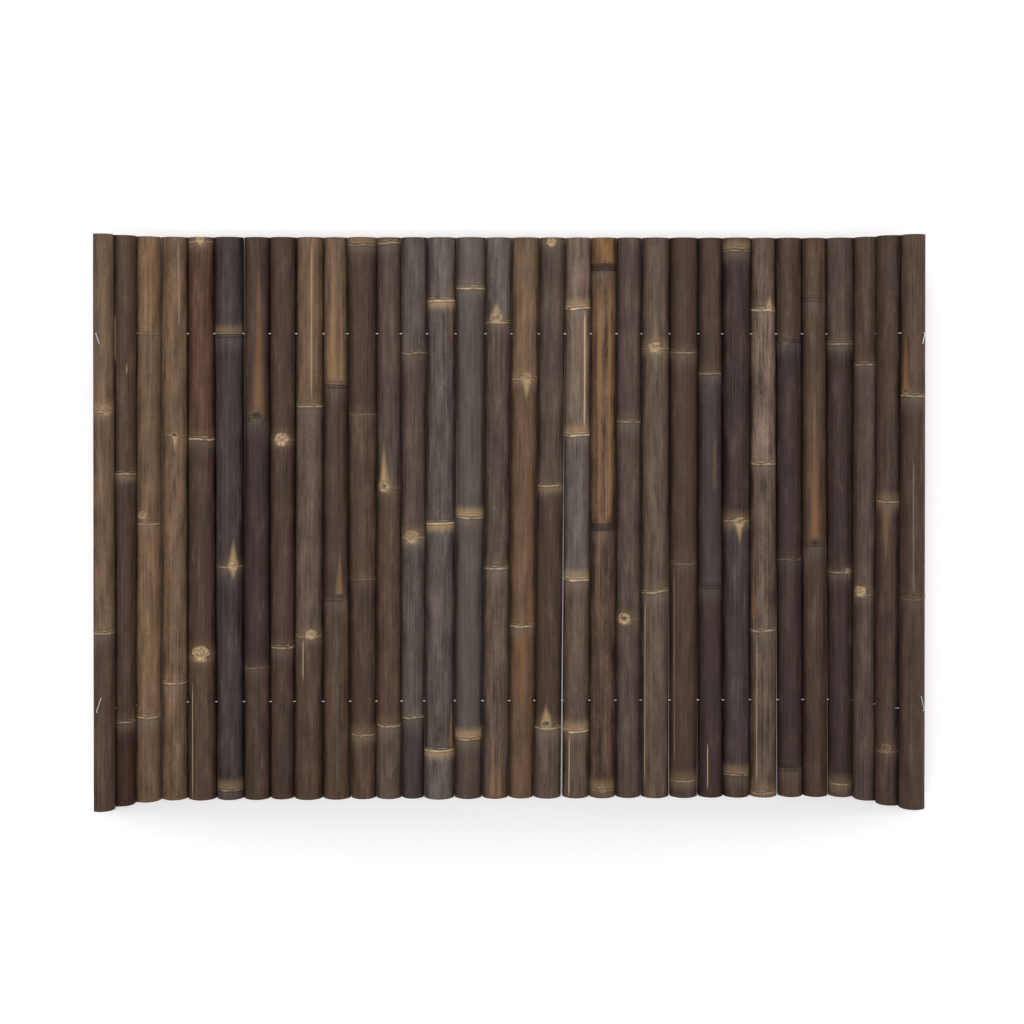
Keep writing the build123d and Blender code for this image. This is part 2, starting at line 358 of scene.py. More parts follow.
class FenceMarks(PropertyGroup):
    """Reach of the painted shade that darkens the sides, and of the tones at the rings."""

    # Painted shade: how far round from the crown the skin starts to darken and where it is darkest,
    # standing in for the shade in the grooves between culms
    painted_shade_start: length("Side start", "Way round from the crown at which the skin begins to darken", 18)
    painted_shade_full: length("Side full", "Way round from the crown at which it is darkest", 38)
    sway: length("Ring sway", "How far a ring's tones wander up and down", 7)
    fray: length("Ring fray", "How far the fibres fray a ring's tones", 1.6)
    line_drop: length("Line drop", "How far the pale line lies below the ring's middle", 2.4)
    line_thin: length("Line reach", "Reach of the pale line where it is thinnest", 0.6)
    line_swell: length("Line swell", "What the pale line's reach gains where it is thickest", 2.4)
    upper_rise: length("Upper line rise", "How far the fainter line lies above the ring's middle", 2.6)
    upper_reach: length("Upper line reach", "Reach of the fainter line", 0.9)
    glow_reach: length("Glow reach", "Reach of the light skin beside the ring", 36)
    glow_drop: length("Glow drop", "How far below the ring's middle that skin begins", 1)
    glow_edge: length("Glow edge", "Length over which that skin begins", 2)
    wax_start: length("Wax start", "Where the grey wax below the ring begins", 3)
    wax_full: length("Wax full", "Where the grey wax is thickest", 8)
    wax_end: length("Wax end", "Where the grey wax has run out", 50)
    stain_reach: length("Stain reach", "Reach of the stain round a black ring", 8)


class FenceStage(PropertyGroup):
    """Camera, lamps and the room behind the fence."""

    camera: FloatVectorProperty(name="Camera", description="Place of the camera", subtype="TRANSLATION",
                                unit="LENGTH", size=3, default=(-0.056, -3.324, 0.929))
    lens: amount("Lens", "Focal length in millimetres on a 36 mm frame", 55.3)
    yaw: angle("Yaw", "Turn of the camera towards the right end", 1.0)
    drop: amount("Frame drop", "How far the frame is lowered, in frame widths", 0.1445)
    key: amount("Key light", "Strength of the main lamp", 1.75)
    key_height: angle("Key height", "Height of the main lamp above the horizon", 32)
    key_side: angle("Key side", "Turn of the main lamp to the left", 8)
    key_size: angle("Key size", "Apparent size of the main lamp", 45)
    sky_front: amount("Front sky", "Strength of the room's light from the front", 0.5)
    sky_back: amount("Rear sky", "Strength of the room's light from behind", 0.9)
    wall_gap: length("Wall gap", "Room between the split backs and the wall", 8)
    wall_size: length("Wall size", "Half width and height of the wall", 9000)
    white: colour("White", "Paint of wall and floor", 249, 249, 250)
    wall_lift: amount("Wall lift", "Extra brightness of the wall where the camera sees it", 0.05)
    floor_lift: amount("Floor lift", "Extra brightness of the floor where the camera sees it", 0.25)


class Shade:
    """A socket of a node tree that takes part in Python arithmetic, each operator adding a Math node."""

    def __init__(self, tree, socket=None):
        self.tree = tree
        self.socket = socket

    def node(self, kind, settings, inputs, output=0):
        """Add a node by its settings and the value or link of each input; gives one of its outputs."""
        made = self.tree.nodes.new(kind)
        for name, value in settings.items():
            setattr(made, name, value)
        for name, value in inputs.items():
            if isinstance(value, Shade):
                self.tree.links.new(value.socket, made.inputs[name])
            else:
                made.inputs[name].default_value = value
        return Shade(self.tree, made.outputs[output] if made.outputs else None)

    def math(self, operation, *values):
        """Math node on up to three values."""
        return self.node("ShaderNodeMath", {"operation": operation}, dict(enumerate(values)))

    def __add__(self, other):
        return self.math("ADD", self, other)

    __radd__ = __add__

    def __sub__(self, other):
        return self.math("SUBTRACT", self, other)

    def __rsub__(self, other):
        return self.math("SUBTRACT", other, self)

    def __mul__(self, other):
        return self.math("MULTIPLY", self, other)

    __rmul__ = __mul__

    def __truediv__(self, other):
        return self.math("DIVIDE", self, other)

    def __rtruediv__(self, other):
        return self.math("DIVIDE", other, self)

    def __pow__(self, other):
        return self.math("POWER", self, other)

    def __abs__(self):
        return self.math("ABSOLUTE", self)

    def at_most(self, other):
        """The smaller of this value and another one."""
        return self.math("MINIMUM", self, other)

    def at_least(self, other):
        """The larger of this value and another one."""
        return self.math("MAXIMUM", self, other)

    def bell(self, reach):
        """Bell curve of this value: 1 at zero, and about a third at the given reach."""
        share = self / reach
        return self.math("EXPONENT", 0 - share * share)

    def step(self, start, end):
        """Smooth change from 0 at one value to 1 at another."""
        return self.node("ShaderNodeMapRange", {"interpolation_type": "SMOOTHSTEP"},
                         {"Value": self, "From Min": start, "From Max": end})

    def attribute(self, name, output="Vector"):
        """One output of a mesh attribute."""
        return self.node("ShaderNodeAttribute", {"attribute_name": name}, {}, output)

    def part(self, axis):
        """One of the three numbers of a vector or colour."""
        return self.node("ShaderNodeSeparateXYZ", {}, {0: self}, axis)

    def parts(self):
        """All three numbers of a vector or colour."""
        return [self.part(axis) for axis in range(3)]

    def noise(self, scale, detail=3.0, roughness=0.55):
        """Noise at this place, stretched by a scale for each direction."""
        place = self.node("ShaderNodeVectorMath", {"operation": "MULTIPLY"}, {0: self, 1: scale})
        return self.node("ShaderNodeTexNoise", {}, {"Vector": place, "Scale": 1.0, "Detail": detail,
                                                    "Roughness": roughness})

    def between(self, first, second):
        """Colour that goes from one to another while this value goes from 0 to 1."""
        ends = [end if isinstance(end, Shade) else (*end, 1) for end in (first, second)]
        return self.node("ShaderNodeMix", {"data_type": "RGBA"}, {0: self, 6: ends[0], 7: ends[1]}, 2)

    def mix(self, factor, other):
        """This colour turned towards another one."""
        return factor.between(self, other)

    def times(self, tone):
        """A colour made lighter or darker by this value."""
        return self.node("ShaderNodeVectorMath", {"operation": "SCALE"}, {0: tone, "Scale": self})


def new_material(name):
    """Material without nodes, and a start for its expressions."""
    material = bpy.data.materials.new(name)
    material.use_nodes = True
    material.node_tree.nodes.clear()
    return material, Shade(material.node_tree)


class Grain(NamedTuple):
    """Noises that the layers of the bamboo share; each is about 0.5 in the middle of its range."""

    # Metres round from the crown, metres above the foot, and a number of each culm's own
    place: Shade
    fibre: Shade
    strand: Shade
    drift: Shade
    mottle: Shade
    grit: Shade


# How much each noise lightens and darkens the skin
STREAKS = {"fibre": 0.9, "strand": 1.6, "drift": 2.1, "mottle": 0.5, "grit": 0.4}


def bamboo_grain(start):
    """Noises from fine fibres to broad drifts along the culm, and two that have no direction."""
    place = start.attribute("place")
    return Grain(
        place,
        fibre=place.noise((1100, 8, 1), 3, 0.6),
        strand=place.noise((300, 3.5, 2)),
        drift=place.noise((55, 11, 3), 4, 0.65),
        mottle=place.noise((160, 110, 4)),
        grit=place.noise((420, 420, 5), 2, 0.7),
    )


def stained_skin(start, grain, tones, marks):
    """The culm's own tone, streaked along the fibres, with painted shade darkening its sides, and wax and
    warm patches.
    """
    darkest = 0.25
    painted_side_shade = 0.45
    wax_strength = 0.25
    warm_strength = 0.2
    shade = sum((getattr(grain, name) - 0.5) * weight for name, weight in STREAKS.items())
    # Painted shade: the skin darkens towards both sides of the culm, where the grooves between culms are
    # shaded
    sides = abs(grain.place.part(0)).step(marks.painted_shade_start, marks.painted_shade_full) * painted_side_shade
    light = 1 + shade * start.attribute("tone", "Alpha") - sides
    skin = light.at_least(darkest).times(start.attribute("tone", "Color"))
    wax = grain.drift.step(0.52, 0.75) * grain.mottle * wax_strength
    warmth = (1 - grain.drift).step(0.5, 0.7) * grain.strand.step(0.48, 0.7) * warm_strength
    return skin.mix(wax, tones.bloom).mix(warmth, tones.orange)


def flame_layer(start, skin, grain, tones):
    """Flames from tan to orange, strongest along their middles and frayed by the fibres."""
    fray = (grain.fibre - 0.5) * 1.5 + (grain.strand - 0.5) * 1.7
    for number in range(1, FLAME_COUNT + 1):
        across, weight, orange = start.attribute(f"flame_{number}").parts()
        mask = (1 - (abs(across) + fray).step(-0.1, 1.2)) * weight * (0.5 + grain.fibre * 0.9)
        skin = skin.mix(mask.at_most(1), orange.between(tones.tan, tones.orange))
    return skin


def line_layer(start, skin, grain, tones):
    """Thin pale scratches and dark cracks along the fibres."""
    wobble = (grain.strand - 0.5) * 2.2
    for number in range(1, LINE_COUNT + 1):
        across, pale, dark = start.attribute(f"line_{number}").parts()
        mask = (across + wobble).bell(1)
        skin = skin.mix(mask * pale, tones.scar)
        skin = skin.mix(mask * dark, tones.groove)
    return skin


def ring_layer(start, skin, grain, tones, marks):
    """Pale scar line that thins and fades round the culm, a fainter one above, dark lines, and glow."""
    wax_strength = 0.35
    darkening_strength = 0.8
    upper_strength = 0.7
    pale, dark, above = start.attribute("ring_look", "Color").parts()
    below = start.attribute("ring_look", "Alpha")
    sway = (grain.place.noise((38, 0, 6), 2) - 0.5) * marks.sway + (grain.strand - 0.5) * marks.fray
    near = start.attribute("growth").part(0) + sway
    under = 0 - near

    wax = under.step(marks.wax_start, marks.wax_full) * (1 - under.step(marks.wax_full, marks.wax_end))
    skin = skin.mix(wax * (pale + dark).at_most(1) * wax_strength * grain.strand, tones.bloom)

    reach = (0.3 + grain.place.noise((120, 0, 8))) * marks.glow_reach
    glow_above = near.step(0, marks.glow_edge) * (1 - (near / reach).step(0.15, 1)) * above
    edge_below = (under - marks.glow_drop).step(0, marks.glow_edge)
    glow_below = edge_below * (1 - (under / reach).step(0.15, 1)) * below
    patchy = (0.35 + grain.fibre * 0.5 + grain.mottle * 0.8).at_most(1)
    skin = skin.mix(((glow_above + glow_below) * patchy).at_most(1), tones.glow)

    # Darker along lines about the ring, and round the black rings
    dark_lines = sum((near - height * MM).bell(width * MM) * strength for height, width, strength in RING_DARK_LINES)
    darkening = (dark_lines * dark + near.bell(marks.stain_reach) * (dark - 1).at_least(0)).at_most(1)
    skin = skin.mix(darkening * darkening_strength, tones.groove)

    thick = grain.place.noise((60, 0, 7), 3, 0.65)
    upper = (near - marks.upper_rise).bell(marks.upper_reach) * (1 - thick).step(0.42, 0.62)
    line_reach = marks.line_thin + thick * marks.line_swell
    lower = (near + marks.line_drop).bell(line_reach) * thick.step(0.25, 0.6)
    scar = (upper * upper_strength + lower) * pale * (0.65 + grain.grit * 0.6)
    return skin.mix(scar.at_most(1), tones.scar), scar - darkening


def bud_flame(skin, across, along, width, grain, tones):
    """Pale flame that starts at a bud with a given half width and ends in a tip, where along is 1."""
    taper = (1 - along).at_least(0.02) * width
    side = abs(across) / taper + (grain.fibre - 0.5) * 1.1 + (grain.strand - 0.5) * 0.9
    mask = (1 - side.step(0.1, 1.2)) * along.step(-0.1, 0.05) * (1 - along.step(0.1, 1))
    return skin.mix(mask * (0.4 + grain.fibre * 0.7).at_most(1), tones.flame)


def bud_layer(start, skin, grain, tones):
    """Mottled disc with a dark edge, a broken pale rim and a pale lip below, a dark hole, and flames.

    Ways across and up are in half widths of the bud.
    """
    flame_start = 0.35
    shortest = 0.001
    edge_at = 1.02
    rim_at = 0.78
    lip_at = -0.85
    thin = 0.13
    _, across, up = start.attribute("growth").parts()
    disc, hole, above = start.attribute("bud_look", "Color").parts()
    below = start.attribute("bud_look", "Alpha")
    upward = (up - flame_start) / above.at_least(shortest)
    downward = (0 - up - flame_start) / below.at_least(shortest)
    skin = bud_flame(skin, across, upward, 1.0, grain, tones)
    skin = bud_flame(skin, across, downward, 0.8, grain, tones)

    lump = grain.place.noise((210, 170, 9), 3, 0.7)
    ragged_across = across + (grain.mottle - 0.5) * 1.3
    ragged_up = up * 1.3 + (lump - 0.5) * 1.3
    out = (ragged_across * ragged_across + ragged_up * ragged_up) ** 0.5
    skin = skin.mix(out.bell(1.3) * disc * 0.35, tones.tan)
    patch = (1 - out.step(0.75, 1.05)) * disc
    skin = skin.mix(patch * 0.9, lump.step(0.3, 0.62).between(tones.chestnut, tones.pulp))

    dark_edge = (out - edge_at).bell(thin) * grain.mottle.step(0.4, 0.65) * disc * 0.6
    skin = skin.mix(dark_edge, tones.groove)
    pale_rim = (out - rim_at).bell(thin) * grain.mottle.step(0.4, 0.55) * disc
    lip = (ragged_up - lip_at).bell(0.3) * ragged_across.bell(0.7) * disc
    skin = skin.mix((pale_rim * 0.25 + lip * lump).at_most(1) * 0.9, tones.scar)
    pit = out.bell(0.4 + (1 - disc) * 0.25) * hole
    return skin.mix(pit.at_most(0.92), tones.groove), patch - dark_edge - pit


def bamboo_material(tones, marks):
    """Smoked bamboo: skin with flames, lines, rings and buds, and bare flesh where it was split or sawn."""
    material, start = new_material("smoked_bamboo")
    grain = bamboo_grain(start)
    skin = stained_skin(start, grain, tones, marks)
    skin = flame_layer(start, skin, grain, tones)
    skin = line_layer(start, skin, grain, tones)
    skin, ring_relief = ring_layer(start, skin, grain, tones, marks)
    skin, bud_relief = bud_layer(start, skin, grain, tones)
    raw = start.attribute("raw", "Fac")
    flesh = (0.3 + grain.fibre * 0.9 + grain.drift * 0.5).times(tones.flesh)
    grained = grain.fibre * 0.5 + grain.strand * 0.4 + grain.grit * 0.2
    relief = grained + ring_relief * 0.5 + bud_relief * 0.6
    deep = 0.7 * MM
    normal = start.node("ShaderNodeBump", {}, {"Strength": 0.5, "Distance": deep, "Height": relief})
    shader = start.node("ShaderNodeBsdfPrincipled", {}, {
        "Base Color": skin.mix(raw, flesh),
        "Roughness": 0.42 + grain.mottle * 0.2 + raw * 0.3,
        "Specular IOR Level": 0.2,
        "Normal": normal,
    })
    start.node("ShaderNodeOutputMaterial", {}, {"Surface": shader})
    return material


def zinc_material(tones):
    """Galvanised wire: dull spangled metal."""
    material, start = new_material("galvanised_wire")
    spangle = start.node("ShaderNodeTexCoord", {}, {}, "Object").noise((900, 900, 900))
    shader = start.node("ShaderNodeBsdfPrincipled", {}, {
        "Base Color": (0.75 + spangle * 0.5).times(tones.zinc),
        "Roughness": 0.28 + spangle * 0.25,
        "Metallic": 0.85,
    })
    start.node("ShaderNodeOutputMaterial", {}, {"Surface": shader})
    return material


class CulmFrame(NamedTuple):
    """Place and size of a slat, read from its solid: plan points and radii at foot and head."""

    foot: np.ndarray
    head: np.ndarray
    along: np.ndarray
    foot_radius: float
    head_radius: float
    wall: float
    height: float

    def radius(self, heights):
        """Outside radius at given heights, which tapers evenly."""
        return self.foot_radius + heights / self.height * (self.head_radius - self.foot_radius)

    def front(self):
        """Direction in plan from the split back to the crown."""
        return np.array([self.along[1], -self.along[0]])


def culm_frame(node):
    """Find a slat's split corners, which are the two points farthest apart on each sawn end."""
    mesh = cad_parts[node].data
    points = np.empty(len(mesh.vertices) * 3, np.float32)
    mesh.vertices.foreach_get("co", points)
    points = points.reshape(-1, 3).astype(float)
    ends = []
    for level in (points[:, 2].min(), points[:, 2].max()):
        plan = points[np.abs(points[:, 2] - level) < 0.01 * MM, :2]
        apart = np.linalg.norm(plan[:, None] - plan[None], axis=2)
        corners = plan[list(np.unravel_index(apart.argmax(), apart.shape))]
        left, right = corners[np.argsort(corners[:, 0])]
        middle = (left + right) / 2
        ends.append((middle, right - left, np.linalg.norm(plan - middle, axis=1).min()))
    (foot, foot_span, foot_bore), (head, head_span, _) = ends
    foot_radius = np.linalg.norm(foot_span) / 2
    return CulmFrame(foot, head, foot_span / np.linalg.norm(foot_span), foot_radius,
                     np.linalg.norm(head_span) / 2, foot_radius - foot_bore, points[:, 2].max())


def smooth(value):
    """Smooth step from 0 to 1 of an array that runs from 0 to 1."""
    value = np.clip(value, 0, 1)
    return value * value * (3 - 2 * value)


def bell(value, reach):
    """Bell curve of an array: 1 at zero, and about 0.6 at the given reach."""
    return np.exp(-(value / reach) ** 2 / 2)


def wire_levels(sizes):
    """Height of each wire, and how far the straight run of the wires lies in front of the split backs."""
    lower_low, lower_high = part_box("tie_wire_lower")
    _, upper_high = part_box("tie_wire_upper")
    back = max(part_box(node)[1].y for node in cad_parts)
    half = sizes.wire / 2
    return (lower_low.z + half, upper_high.z - half), back - lower_high.y + half


def culm_rows(culm, shape, levels):
    """Heights of the grid's rows: even ones, and close ones at the rings and the wire holes."""
    even_rows = 82
    even = np.linspace(0, shape.height, even_rows)
    above_ring = np.array([8, 10.5, 13, 16])
    beside_ring = np.concatenate([np.linspace(-6, 6, 17), above_ring, -above_ring]) * MM
    end_room = 0.3 * MM
    closest = 0.35 * MM
    beside_hole = np.array([-2.2, -1.4, -0.7, 0, 0.7, 1.4, 2.2]) * MM
    rows = [even]
    rows += [height + beside_ring for height in culm.ring_heights()]
    rows += [level + beside_hole for level in levels]
    rows = np.unique(np.round(np.concatenate(rows), 5))
    rows = rows[(rows > end_room) & (rows < shape.height - end_room)]
    keep = np.concatenate([[True], np.diff(rows) > closest])
    return np.concatenate([[0], rows[keep], [shape.height]])


def culm_angles(shape, wire_depth):
    """Angles of the grid's outer columns from the crown: even ones, and close ones at the wire holes."""
    at_hole = pi / 2 - np.arcsin(wire_depth / shape.foot_radius)
    beside_hole = np.array([-2.0, -1.2, -0.5, 0.5, 1.2, 2.0]) * MM / shape.foot_radius
    even_columns = 33
    even = np.linspace(-pi / 2, pi / 2, even_columns)
    return np.sort(np.concatenate([even, at_hole + beside_hole, -at_hole + beside_hole]))


def stacked(*values):
    """Arrays side by side, each spread over the grid that they share."""
    return np.stack(np.broadcast_arrays(*values), axis=2)


def flame_field(flame, arc, height, radius):
    """Way across a flame in half widths, its weight, and its hue."""
    narrowing = 0.85
    weakening = 0.6
    plain_stripe = 0.2
    along = (height / MM - flame.low) / (flame.high - flame.low)
    from_base = np.clip({1: along, -1: 1 - along, 0: np.full_like(along, plain_stripe)}[flame.tip], 0, 1)
    half_width = flame.width * MM * (1 - narrowing * from_base)
    across = (arc - np.radians(flame.angle) * radius) / half_width
    ends = smooth(along * 25) * smooth((1 - along) * 6)
    return stacked(across, flame.strength * (1 - weakening * from_base) * ends, flame.orange)


def line_field(line, arc, height, radius):
    """Way across a line in half widths, and its weights as a pale line and as a dark one."""
    along = (height / MM - line.low) / (line.high - line.low)
    across = (arc - np.radians(line.angle) * radius) / (line.width * MM)
    weight = line.strength * smooth(along * 10) * smooth((1 - along) * 10)
    return stacked(across, np.maximum(weight, 0), np.maximum(-weight, 0))


def culm_fields(culm, shape, rows, angles, seed, tones, sizes):
    """What varies over the outside of a culm, on a grid of rows by angles, and how proud it stands.

    The ring offset is the height above the nearest ring, whose own level sways round the culm. Buds are
    given in half widths from their middles.
    """
    draw = np.random.default_rng(seed)
    height = rows[:, None]
    turn = angles[None, :]
    radius = shape.radius(height)
    arc = turn * radius
    ring_heights = culm.ring_heights()
    index = np.abs(height - ring_heights).argmin(axis=1)

    def nearest(values):
        """What each row takes from its nearest ring."""
        return np.array(values)[index, None]

    # Marks of a ring fade out before the rows where the next ring becomes the nearest one
    halfway = (ring_heights[1:] + ring_heights[:-1]) / 2
    bare = 16 * MM
    fading = 10 * MM
    fade = smooth((np.abs(height - halfway).min(axis=1) - bare) / fading)[:, None, None]

    # Rise and wave of each ring in millimetres, and where its wave starts
    sway = draw.uniform(-1, 1, (len(culm.rings), 3)) * (1.0, 0.8, pi)
    rise = np.array([ring.rise / 2 for ring in culm.rings]) + sway[:, 0]
    wave = nearest(sway[:, 1]) * np.sin(2 * turn + nearest(sway[:, 2]))
    swayed = nearest(rise) * np.sin(turn) + wave
    above_ring = height - nearest(ring_heights)
    ring_offset = above_ring - swayed * MM
    ring_look = nearest([RING_LOOKS[ring.look] for ring in culm.rings])

    buds = [ring.bud or NO_BUD for ring in culm.rings]
    bud_size = nearest([bud.size * MM for bud in buds])
    bud_across = (turn - nearest(np.radians([bud.angle for bud in buds]))) * radius / bud_size
    bud_up = (above_ring - nearest([bud.lift * MM for bud in buds])) / bud_size
    bud_look = nearest([(bud.disc, bud.hole, bud.above / bud.size, bud.below / bud.size) for bud in buds])

    grid = arc.shape
    stretch = np.searchsorted(ring_heights, rows)
    tone = np.array([(*getattr(tones, name), culm.streak) for name in culm.tones])[stretch]
    fields = {
        "tone": np.broadcast_to(tone[:, None], (*grid, 4)),
        "place": stacked(arc, height, float(seed)),
        "growth": stacked(ring_offset, bud_across, bud_up),
        "ring_look": np.broadcast_to(ring_look * fade, (*grid, 4)),
        "bud_look": np.broadcast_to(bud_look * fade, (*grid, 4)),
    }
    flames = [*culm.flames, *[NO_FLAME] * FLAME_COUNT][:FLAME_COUNT]
    for number, flame in enumerate(flames, 1):
        fields[f"flame_{number}"] = flame_field(flame, arc, height, radius)
    lines = [*culm.lines, *[NO_LINE] * LINE_COUNT][:LINE_COUNT]
    for number, line in enumerate(lines, 1):
        fields[f"line_{number}"] = line_field(line, arc, height, radius)

    swell = sizes.swell * bell(ring_offset - sizes.swell_rise, sizes.swell_reach)
    lip = sizes.lip * bell(ring_offset + sizes.lip_drop, sizes.lip_reach)
    furrow = sizes.furrow * bell(ring_offset, sizes.lip_reach)
    out = np.hypot(bud_across, bud_up)
    boss_foot = 1.15
    boss_slope = 0.7
    pit_reach = 0.25
    boss = sizes.bud_height * smooth((boss_foot - out) / boss_slope)
    pit = sizes.bud_pit * bud_look[..., 1] * bell(out, pit_reach)
    return fields, swell + lip - furrow + boss - pit


def nearest_point(own, other, end, side):
    """Point on a culm's round face or split edge that lies nearest to a neighbour, at foot or head."""
    middle = getattr(own, end)
    towards = getattr(other, end) - middle
    faces_it = towards @ own.front() >= 0
    direction = towards / np.linalg.norm(towards) if faces_it else own.along * side
    return middle + direction * getattr(own, f"{end}_radius")


def side_room(own, other, end, side):
    """Room between two neighbours at foot or head."""
    return np.linalg.norm(nearest_point(own, other, end, side) - nearest_point(other, own, end, -side))


def side_bulge(shape, neighbours, limits, rows, angles, sizes):
    """How far each side bulges towards the neighbour there, and a weight that is 1 where a side faces one.

    Both are on a grid of rows by angles. The bulge is half the room between the two culms, less what is
    left open, and at most the limit of that side.
    """
    facing_from = radians(45)
    facing_over = radians(25)
    share = (rows / shape.height)[:, None]
    bulge = np.zeros((len(rows), len(angles)))
    weight = np.zeros(len(angles))
    for side, other, limit in zip((-1, 1), neighbours, limits):
        if other is not None:
            facing = smooth((angles * side - facing_from) / facing_over)
            foot_room = side_room(shape, other, "foot", side)
            head_room = side_room(shape, other, "head", side)
            room = foot_room * (1 - share) + head_room * share - sizes.bulge_room
            bulge = bulge + np.clip(room / 2, 0, limit * MM) * facing
            weight = weight + facing
    return bulge, weight


def culm_mesh(name, culm, shape, neighbours, limits, seed, tones, sizes):
    """Closed skin of a half culm.

    Going round, a row is the outer arc from the left split corner over the crown to the right one, the
    right split face, the arc of the hollow back to the left, and the left split face. The hollow closes to
    the pith where a wall crosses it at a ring. Rows are stacked from foot to head, and each sawn end is one
    face.
    """
    levels, wire_depth = wire_levels(sizes)
    rows = culm_rows(culm, shape, levels)
    angles = culm_angles(shape, wire_depth)
    fields, relief = culm_fields(culm, shape, rows, angles, seed, tones, sizes)
    radius = shape.radius(rows)
    bulge, facing = side_bulge(shape, neighbours, limits, rows, angles, sizes)
    outer = radius[:, None] + relief * (1 - facing) + bulge
    for level in levels:
        for side in (-1, 1):
            at_hole = side * (pi / 2 - np.arcsin(wire_depth / radius))
            off = np.hypot((angles - at_hole[:, None]) * radius[:, None], rows[:, None] - level)
            outer = outer - sizes.hole_depth * smooth((sizes.hole - off) / sizes.hole_edge + 0.5)

    to_ring = np.abs(rows[:, None] - culm.ring_heights()).min(axis=1)
    open_share = smooth((to_ring - sizes.septum) / sizes.septum_fillet)
    bore = sizes.pith + (radius - shape.wall - sizes.pith) * np.sqrt(open_share)
    inner_angles = np.linspace(pi / 2, -pi / 2, 11)
    inner = np.broadcast_to(bore[:, None], (len(rows), len(inner_angles)))
    shares = np.array([0.06, 0.5])
    right_face = outer[:, -1:] * (1 - shares) + inner[:, :1] * shares
    left_face = inner[:, -1:] * shares[::-1] + outer[:, :1] * (1 - shares[::-1])
    reach = np.concatenate([outer, right_face, inner, left_face], axis=1)
    side = np.full(len(shares), pi / 2)
    turn = np.concatenate([angles, side, inner_angles, -side])

    direction = np.sin(turn)[:, None] * shape.along + np.cos(turn)[:, None] * shape.front()
    axis = shape.foot + (rows / shape.height)[:, None] * (shape.head - shape.foot)
    plan = axis[:, None, :] + reach[..., None] * direction
    points = np.concatenate([plan, np.broadcast_to(rows[:, None, None], (*reach.shape, 1))], axis=2)

    count_rows, count_round = reach.shape
    corner = np.arange(count_rows * count_round).reshape(count_rows, count_round)
    following = np.roll(corner, -1, axis=1)
    sides = np.stack([corner[:-1], following[:-1], following[1:], corner[1:]], axis=2).reshape(-1, 4)
    mesh = bpy.data.meshes.new(name)
    faces = sides.tolist() + [corner[0, ::-1].tolist(), corner[-1].tolist()]
    mesh.from_pydata(points.reshape(-1, 3).tolist(), [], faces)

    spread = len(angles)
    raw = np.zeros(reach.shape)
    raw[:, spread:] = 1
    put_attribute(mesh, "raw", raw)
    # Inside points take the values of the outer column that lies nearest
    across_hollow = np.linspace(spread - 1, 0, len(inner_angles)).astype(int)
    right_side = np.full(len(shares), spread - 1)
    left_side = np.zeros(len(shares), int)
    columns = np.concatenate([np.arange(spread), right_side, across_hollow, left_side])
    for field, values in fields.items():
        put_attribute(mesh, field, values[:, columns])
    mesh.polygons.foreach_set("use_smooth", np.ones(len(mesh.polygons), bool))
    sharp_edge = radians(50)
    mesh.set_sharp_from_angle(angle=sharp_edge)
    return mesh


def put_attribute(mesh, name, values):
    """Store a grid of numbers, vectors or colours with alpha as an attribute of the mesh's points."""
    kinds = {(): ("FLOAT", "value"), (3,): ("FLOAT_VECTOR", "vector"), (4,): ("FLOAT_COLOR", "color")}
    kind, key = kinds[values.shape[2:]]
    made = mesh.attributes.new(name, kind, "POINT")
    made.data.foreach_set(key, np.ascontiguousarray(values, np.float32).ravel())


class FENCE_OT_culms(Operator):
    """Make the skin of every split culm in place of its plain solid"""

    bl_idname = "fence.culms"
    bl_label = "Split culms"

    def execute(self, context):
        tones = context.scene.fence_tones
        sizes = context.scene.fence_sizes
        material = bamboo_material(tones, context.scene.fence_marks)
        nodes = [f"slat_{number:02d}" for number in range(1, len(CULMS) + 1)]
        shapes = [None, *(culm_frame(node) for node in nodes), None]
        for number, (culm, node) in enumerate(zip(CULMS, nodes), 1):
            name = f"culm_{number:02d}"
            neighbours = (shapes[number - 1], shapes[number + 1])
            limits = (CULMS[number - 2].snug, culm.snug)
            mesh = culm_mesh(name, culm, shapes[number], neighbours, limits, number, tones, sizes)
            mesh.materials.append(material)
            piece = bpy.data.objects.new(name, mesh)
            context.scene.collection.objects.link(piece)
            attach(piece, "root")
            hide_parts(node)
        return {"FINISHED"}


class FENCE_OT_wires(Operator):
    """Give the tie wires their galvanised finish"""

    bl_idname = "fence.wires"
    bl_label = "Tie wires"

    def execute(self, context):
        material = zinc_material(context.scene.fence_tones)
        for node in ("tie_wire_upper", "tie_wire_lower"):
            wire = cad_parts[node].data
            wire.materials.clear()
            wire.materials.append(material)
        return {"FINISHED"}


def add_plane(name, corners, material):
    """Flat four-cornered piece of the stage."""
    mesh = bpy.data.meshes.new(name)
    mesh.from_pydata(corners, [], [(0, 1, 2, 3)])
    mesh.materials.append(material)
    plane = bpy.data.objects.new(name, mesh)
    bpy.context.scene.collection.objects.link(plane)


def white_material(name, stage, lift, one_sided):
    """White paint that keeps shadows, lifted for the camera, and if one-sided open to light from behind."""
    material, start = new_material(name)
    paint = start.node("ShaderNodeBsdfDiffuse", {}, {"Color": (*stage.white, 1)})
    glow = start.node("ShaderNodeEmission", {}, {"Color": seen_directly(start), "Strength": lift})
    surface = start.node("ShaderNodeAddShader", {}, {0: paint, 1: glow})
    if one_sided:
        backfacing = start.node("ShaderNodeNewGeometry", {}, {}, "Backfacing")
        lit_through = start.node("ShaderNodeLightPath", {}, {}, "Is Shadow Ray")
        clear = start.node("ShaderNodeBsdfTransparent", {}, {})
        is_open = backfacing.at_least(lit_through)
        surface = start.node("ShaderNodeMixShader", {}, {0: is_open, 1: surface, 2: clear})
    start.node("ShaderNodeOutputMaterial", {}, {"Surface": surface})
    return material


